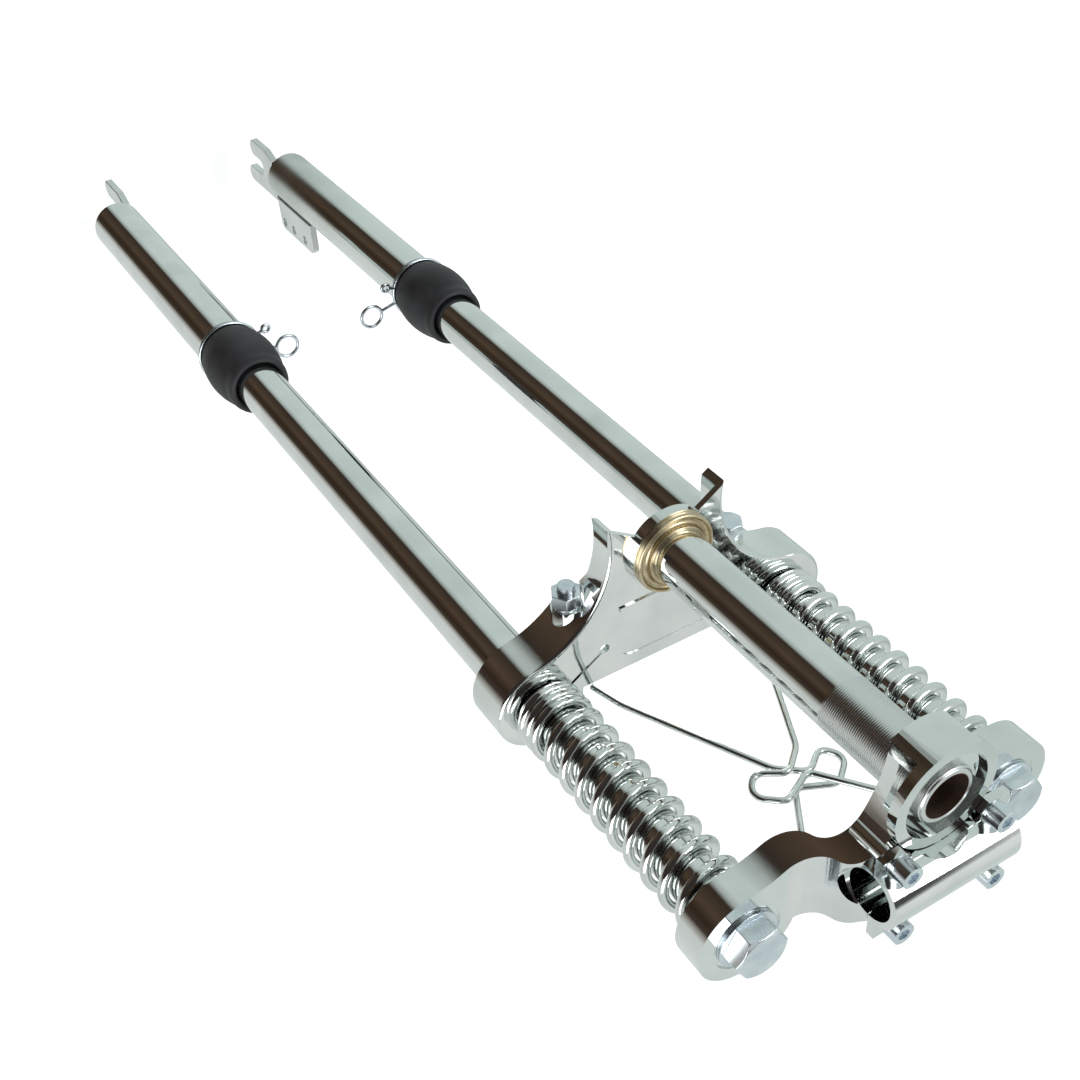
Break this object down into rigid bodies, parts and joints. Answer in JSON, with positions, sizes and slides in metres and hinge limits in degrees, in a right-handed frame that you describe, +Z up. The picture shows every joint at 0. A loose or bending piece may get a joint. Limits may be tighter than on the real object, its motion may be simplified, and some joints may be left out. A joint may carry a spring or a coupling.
{
  "type": "telescopic moped fork",
  "caption": "Chromed telescopic front fork with steerer tube, two yokes, bright coil springs, handlebar clamp, rubber boots and sprung sliding legs.",
  "frame": {"origin": "steerer axis, at the seat of the crown race on the lower yoke", "axes": "+Z up along the steerer, -Y to the front where the legs are, +X to the rider's left, the leg with the bracket"},
  "size_m": [0.1816, 0.1265, 0.8233],
  "materials": {
    "chrome": "bright chrome plate",
    "plain_steel": "turned steel",
    "satin_steel": "dull plated steel",
    "spring_steel": "oiled spring steel",
    "zinc": "blue-white zinc plate",
    "race_steel": "greased bearing steel",
    "bronze": "sintered bronze",
    "rubber": "matt black rubber"
  },
  "bodies": {
    "fork": {"steerer_tube": "chrome", "crown_race": "race_steel", "lower_yoke": "chrome", "top_yoke": "chrome", "handlebar_clamp_cap": "chrome", "clamp_spring_washers": "zinc", "clamp_screws": "zinc", "leg_cap_washers": "zinc", "leg_cap_bolts": "zinc", "pinch_bolts": "zinc", "pinch_nuts": "zinc", "pinch_washers": "zinc", "cable_guide_left": "chrome", "stanchion_left": "chrome", "stanchion_plug_left": "plain_steel", "distance_tube_left": "chrome", "lower_bush_left": "bronze", "top_out_sleeve_left": "plain_steel", "spring_stop_left": "plain_steel", "fork_spring_left": "spring_steel", "dress_spring_left": "chrome", "cable_guide_right": "chrome", "stanchion_right": "chrome", "stanchion_plug_right": "plain_steel", "distance_tube_right": "chrome", "lower_bush_right": "bronze", "top_out_sleeve_right": "plain_steel", "spring_stop_right": "plain_steel", "fork_spring_right": "spring_steel", "dress_spring_right": "chrome"},
    "slider_left": {"slider_left": "chrome", "upper_bush_left": "bronze", "spring_post_left": "plain_steel", "post_screw_left": "zinc", "boot_left": "rubber", "boot_clip_left": "zinc", "fork_end_left": "satin_steel"},
    "slider_right": {"slider_right": "chrome", "upper_bush_right": "bronze", "spring_post_right": "plain_steel", "post_screw_right": "zinc", "boot_right": "rubber", "boot_clip_right": "zinc", "fork_end_right": "satin_steel"}
  },
  "joints": [
    {"name": "slider_left_slide", "type": "slide", "parent": "fork", "child": "slider_left", "axis": [0, 0, 1], "range_m": [0, 0.06], "stiffness_N_per_m": 4000, "springref_m": -0.012, "deforming": ["fork_spring_left"]},
    {"name": "slider_right_slide", "type": "slide", "parent": "fork", "child": "slider_right", "axis": [0, 0, 1], "range_m": [0, 0.06], "stiffness_N_per_m": 4000, "springref_m": -0.012, "deforming": ["fork_spring_right"]}
  ]
}
